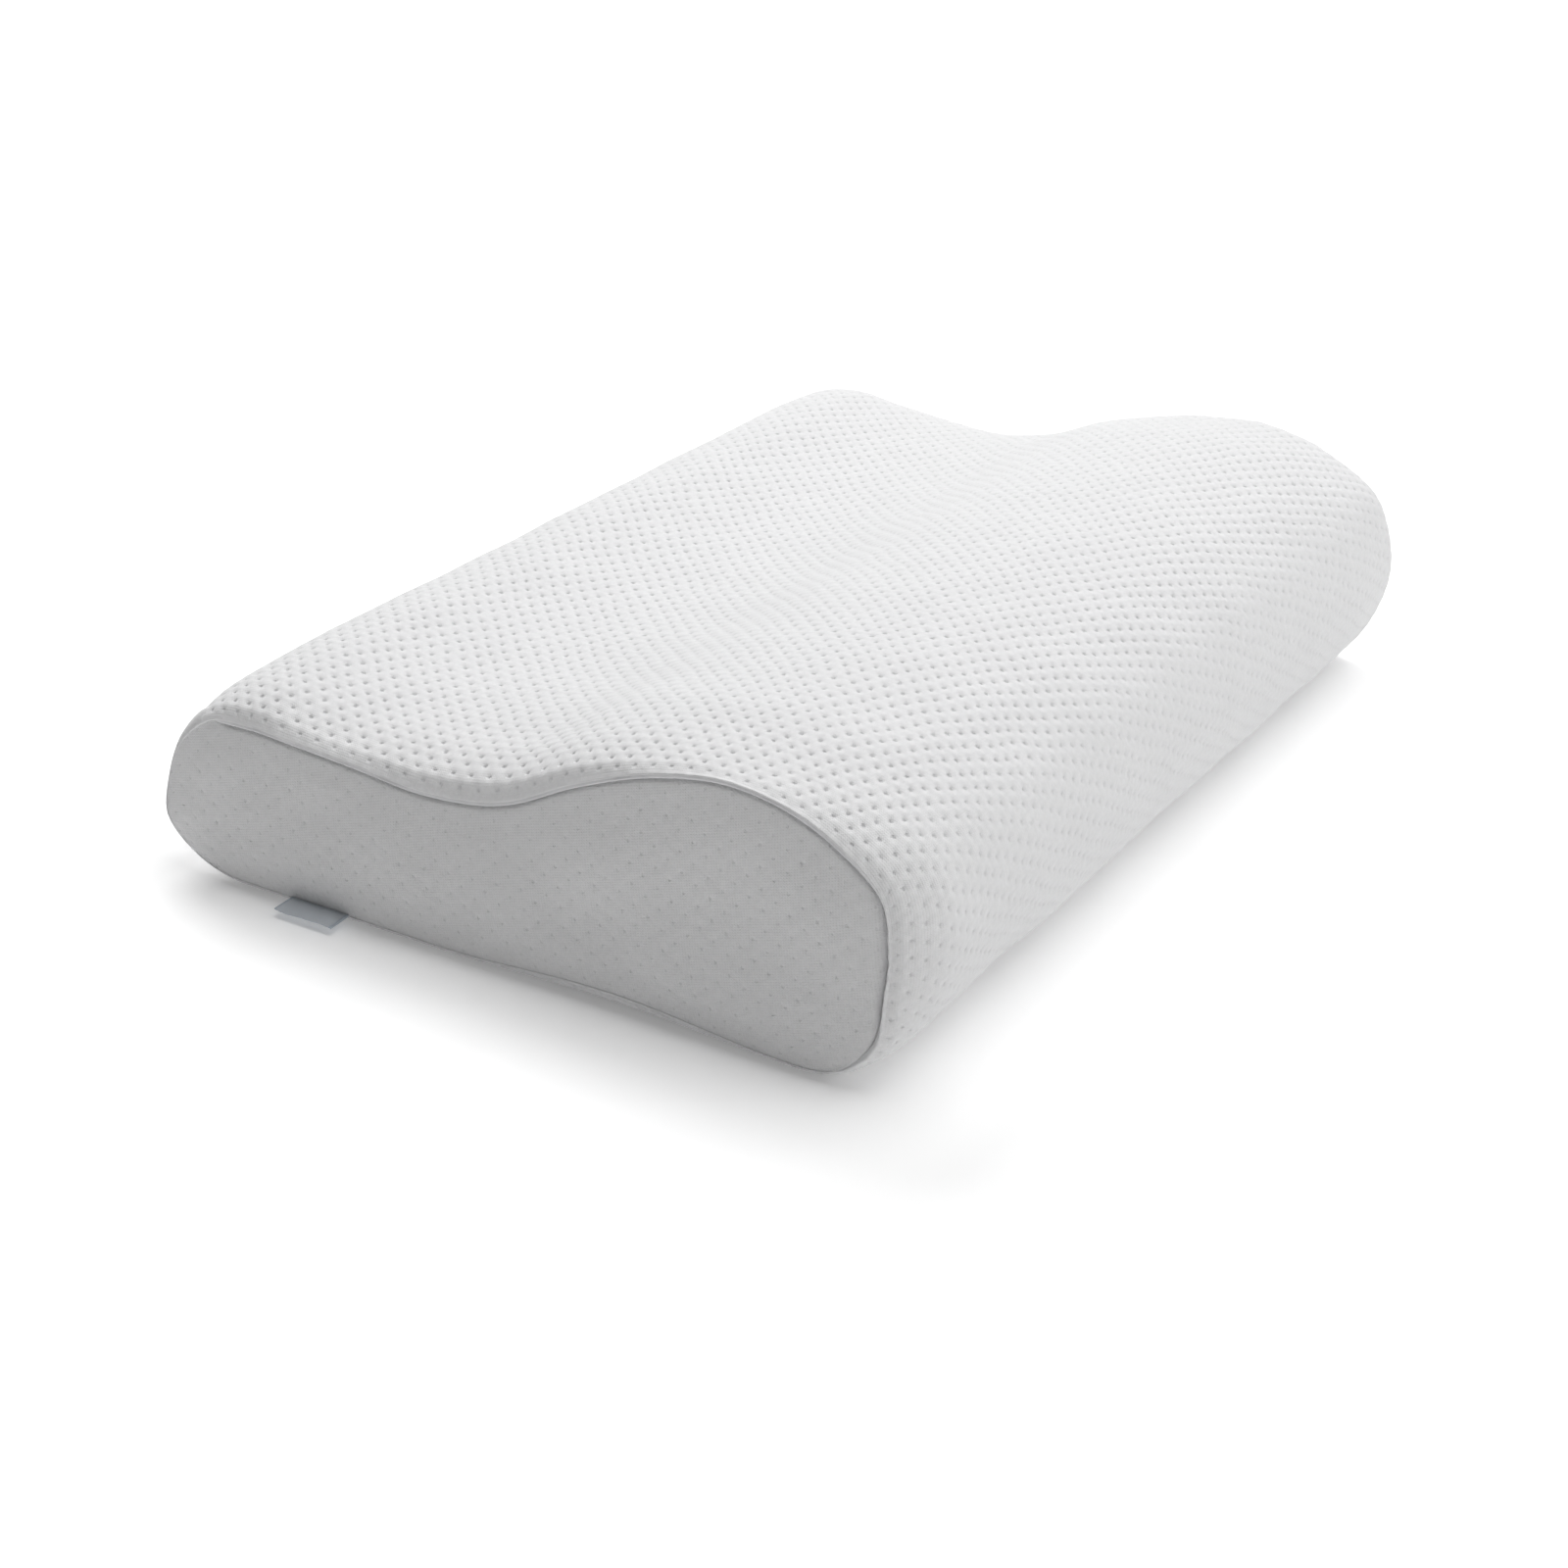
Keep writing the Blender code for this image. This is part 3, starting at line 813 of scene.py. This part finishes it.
class Nodes:
    """Short calls to lay out a material's nodes."""

    def __init__(self, name):
        self.material = bpy.data.materials.new(name)
        self.material.use_nodes = True
        self.tree = self.material.node_tree
        self.shader = self.tree.nodes["Principled BSDF"]

    def plug(self, socket, value):
        if isinstance(value, bpy.types.NodeSocket):
            self.tree.links.new(value, socket)
        else:
            socket.default_value = value

    def finish(self, roughness, specular=0.5, sheen=0.0, sheen_roughness=0.5):
        for key, number in (("Roughness", roughness), ("Specular IOR Level", specular),
                            ("Sheen Weight", sheen), ("Sheen Roughness", sheen_roughness)):
            self.shader.inputs[key].default_value = number
        return self.material

    def math(self, operation, first, second=0.0):
        node = self.tree.nodes.new("ShaderNodeMath")
        node.operation = operation
        self.plug(node.inputs[0], first)
        self.plug(node.inputs[1], second)
        return node.outputs[0]

    def add(self, first, *more):
        for value in more:
            first = self.math("ADD", first, value)
        return first

    def times(self, first, second):
        return self.math("MULTIPLY", first, second)

    def minus(self, first, second):
        return self.math("SUBTRACT", first, second)

    def ramp(self, value, low, high, to_low=0.0, to_high=1.0):
        node = self.tree.nodes.new("ShaderNodeMapRange")
        node.interpolation_type = "SMOOTHSTEP"
        for key, number in (("Value", value), ("From Min", low), ("From Max", high),
                            ("To Min", to_low), ("To Max", to_high)):
            self.plug(node.inputs[key], number)
        return node.outputs["Result"]

    def place(self):
        """x, y and z on the object."""
        split = self.tree.nodes.new("ShaderNodeSeparateXYZ")
        self.plug(split.inputs[0], self.tree.nodes.new("ShaderNodeTexCoord").outputs["Object"])
        return split.outputs

    def noise(self, scale, detail):
        node = self.tree.nodes.new("ShaderNodeTexNoise")
        self.plug(node.inputs["Vector"],
                  self.tree.nodes.new("ShaderNodeTexCoord").outputs["Object"])
        node.inputs["Scale"].default_value = scale
        node.inputs["Detail"].default_value = detail
        return node.outputs["Fac"]

    def uv(self):
        node = self.tree.nodes.new("ShaderNodeUVMap")
        node.uv_map = "Knit"
        split = self.tree.nodes.new("ShaderNodeSeparateXYZ")
        self.tree.links.new(node.outputs["UV"], split.inputs[0])
        return split.outputs["X"], split.outputs["Y"]

    def mix(self, share, first, second):
        node = self.tree.nodes.new("ShaderNodeMix")
        node.data_type = "RGBA"
        self.plug(node.inputs[0], share)
        self.plug(node.inputs[6], first)
        self.plug(node.inputs[7], second)
        return node.outputs[2]

    def bump(self, height, distance, before=None):
        node = self.tree.nodes.new("ShaderNodeBump")
        node.inputs["Distance"].default_value = distance
        self.plug(node.inputs["Height"], height)
        if before is not None:
            self.plug(node.inputs["Normal"], before)
        return node.outputs["Normal"]


def knit_material(name, colour, pit_painted_shade, pit_depth, puff_height, pit_size):
    """Matte double knit: puffs, pits drawn in at each lattice point with painted shade in them, and
    fine loops.
    """
    n = Nodes(name)
    a, b = n.uv()
    full_turn = 2.0 * math.pi

    # the pits, by the distance in millimetres from the nearest lattice point
    off_a = n.minus(a, n.math("ROUND", a))
    off_b = n.minus(b, n.math("ROUND", b))
    across = n.times(n.add(off_a, off_b), COLUMN_PITCH / MM)
    along = n.add(n.times(off_b, (1.0 - COLUMN_SHIFT) * pit_pitch / MM),
                  n.times(off_a, -COLUMN_SHIFT * pit_pitch / MM))
    reach = n.math("SQRT", n.add(n.times(across, across), n.times(along, along)))
    ragged = n.times(n.minus(n.noise(*RAGGED_NOISE), 0.5), RAGGED)
    pit = n.ramp(n.add(reach, ragged), PIT_CORE * pit_size, pit_size, 1.0, 0.0)
    pit = n.times(pit, n.ramp(n.place()["Y"], *FAINT_FRONT, FAINT_PITS, 1.0))

    # the puffs between them
    waves = n.add(n.math("COSINE", n.times(a, full_turn)),
                  n.math("COSINE", n.times(b, full_turn)),
                  n.math("COSINE", n.times(n.add(a, b), full_turn)))
    puffs = n.times(n.minus(3.0, waves), 1.0 / 4.5)

    # knit loops, with their two legs leaning together
    lean = n.math("ABSOLUTE", n.minus(n.math("FRACT", n.times(n.add(a, b), WALES)), 0.5))
    course = n.minus(n.times(b, 1.0 - COLUMN_SHIFT), n.times(a, COLUMN_SHIFT))
    course = n.add(n.times(course, COURSES), n.times(lean, LOOP_SLANT))
    crest = n.add(n.math("COSINE", n.times(course, full_turn)), 1.0)
    loops = n.times(crest, n.minus(0.5, lean))

    normal = n.bump(puffs, puff_height)
    normal = n.bump(pit, -pit_depth, before=normal)
    normal = n.bump(loops, LOOP_HEIGHT, before=normal)
    normal = n.bump(n.noise(*FUZZ_NOISE), FUZZ_HEIGHT, before=normal)
    shade = n.ramp(n.noise(*SHADE_NOISE), *SHADE_RANGE)
    grain = n.ramp(n.noise(*GRAIN_NOISE), *GRAIN_RANGE)
    tint = n.mix(shade, (*[c * SHADE for c in colour], 1.0), (*colour, 1.0))
    tint = n.mix(grain, (*[c * GRAIN for c in colour], 1.0), tint)
    # painted shade: each pit is darkened towards its painted shade colour, less over the front face
    tint = n.mix(n.times(pit, PAINTED_PIT_SHADE), tint, (*pit_painted_shade, 1.0))
    n.plug(n.shader.inputs["Base Color"], tint)
    n.plug(n.shader.inputs["Normal"], normal)
    return n.finish(roughness=0.9, specular=0.2, sheen=0.10, sheen_roughness=0.6)


def tape_material():
    """Smooth woven tape, pale grey-blue, left blank."""
    n = Nodes("woven_tape")
    across, along = n.uv()
    warp = n.math("SINE", n.times(across, 2.0 * math.pi / TAPE_WARP))
    weft = n.math("SINE", n.times(along, 2.0 * math.pi / TAPE_WEFT))
    weave = n.times(warp, weft)
    edge = n.ramp(n.math("ABSOLUTE", across), *TAPE_EDGE_STARTS)
    cloth = n.mix(n.ramp(weave, -1.0, 1.0), TAPE_LOW, TAPE_HIGH)
    n.plug(n.shader.inputs["Base Color"], n.mix(edge, cloth, TAPE_EDGE))
    n.plug(n.shader.inputs["Normal"], n.bump(weave, TAPE_HEIGHT))
    return n.finish(roughness=0.55, sheen=0.1)


def make_floor():
    """A pale floor with a painted glow beside the pillow that lights it, and a painted shadow near
    the pillow's ends; evenly white away from the pillow.
    """
    corners = np.array([(-1, -1, 0), (1, -1, 0), (1, 1, 0), (-1, 1, 0)]) * FLOOR_REACH
    floor = new_object("floor", corners, [(0, 1, 2, 3)], [(0, 0), (1, 0), (1, 1), (0, 1)])
    n = Nodes("floor_painted_glow")
    place = n.place()
    past_end = n.minus(n.math("ABSOLUTE", place["X"]), HALF + END_PAINTED_SHADOW)
    past_side = n.minus(n.math("ABSOLUTE", place["Y"]), HALF_DEPTH)
    away = n.math("MAXIMUM", past_end, past_side)
    # painted glow that lights the pillow, left out near it as painted shadow
    near = n.ramp(away, *PAINTED_GLOW_STARTS, 0.0, FLOOR_PAINTED_GLOW)
    far = n.ramp(away, *GLOW_FADE, 0.0, 1.0 - FLOOR_PAINTED_GLOW)
    n.plug(n.shader.inputs["Emission Strength"], n.add(near, far))
    n.shader.inputs["Emission Color"].default_value = (1.0, 1.0, 1.0, 1.0)
    n.shader.inputs["Base Color"].default_value = FLOOR_COLOUR
    floor.data.materials.append(n.finish(roughness=0.9, specular=0.0))


def add_light(name, place, size, power):
    """A soft round light aimed at the pillow."""
    data = bpy.data.lights.new(name, "AREA")
    data.shape = "DISK"
    data.size = size
    data.energy = power
    light = bpy.data.objects.new(name, data)
    light.location = place
    light.rotation_mode = "QUATERNION"
    light.rotation_quaternion = (Vector(LIGHT_AIM) - Vector(place)).to_track_quat("-Z", "Y")
    bpy.context.scene.collection.objects.link(light)


def light_scene():
    """Broad soft lights, and a surround that lights dimly and evenly but looks as white as the
    floor far away.
    """
    for row in LIGHTS:
        add_light(*row)
    world = bpy.data.worlds.new("soft")
    bpy.context.scene.world = world
    world.use_nodes = True
    background = world.node_tree.nodes["Background"]
    background.inputs["Color"].default_value = (1.0, 1.0, 1.0, 1.0)
    tree = world.node_tree
    strength = tree.nodes.new("ShaderNodeMapRange")
    strength.inputs["To Min"].default_value = WORLD_STRENGTH
    tree.links.new(tree.nodes.new("ShaderNodeLightPath").outputs["Is Camera Ray"],
                   strength.inputs["Value"])
    tree.links.new(strength.outputs["Result"], background.inputs["Strength"])


def add_camera():
    """The camera at the photograph's angle."""
    out = math.cos(CAMERA_ELEVATION)
    back = Vector((math.sin(CAMERA_AZIMUTH) * out, -math.cos(CAMERA_AZIMUTH) * out,
                   math.sin(CAMERA_ELEVATION)))
    level = (-back).cross(Vector((0.0, 0.0, 1.0))).normalized()
    high = level.cross(-back)
    right = math.cos(CAMERA_ROLL) * level + math.sin(CAMERA_ROLL) * high
    up = -math.sin(CAMERA_ROLL) * level + math.cos(CAMERA_ROLL) * high
    place = (Vector((0.0, 0.0, CAMERA_AIM_Z)) + back * CAMERA_DISTANCE
             + right * CAMERA_RIGHT + up * CAMERA_UP)
    data = bpy.data.cameras.new("camera")
    data.lens = CAMERA_LENS
    data.sensor_width = CAMERA_SENSOR
    data.clip_start, data.clip_end = CAMERA_CLIP
    camera = bpy.data.objects.new("camera", data)
    axes = Matrix((right, up, back)).transposed()
    camera.matrix_world = Matrix.Translation(place) @ axes.to_4x4()
    bpy.context.scene.collection.objects.link(camera)
    bpy.context.scene.camera = camera


def dress(piece, surface, node):
    """Gives a piece its finish and lets it stand for a node of the solids."""
    piece.data.materials.append(surface)
    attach(piece, "root")
    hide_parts(node)


add_camera()
wrap_knit = knit_material("wrap_knit", **WRAP_KNIT)
end_knit = knit_material("end_knit", **END_KNIT)
wrap = make_wrap()
dress(wrap, wrap_knit, "pillow_body")
near_panel = make_panel("knitted_end_near", -1.0)
dress(near_panel, end_knit, "end_panel_near")
far_panel = make_panel("knitted_end_far", 1.0)
dress(far_panel, end_knit, "end_panel_far")
tab = make_tab()
dress(tab, tape_material(), "label_tab")
make_floor()
light_scene()
bpy.context.scene.view_settings.view_transform = "Standard"

bpy.context.view_layer.update()
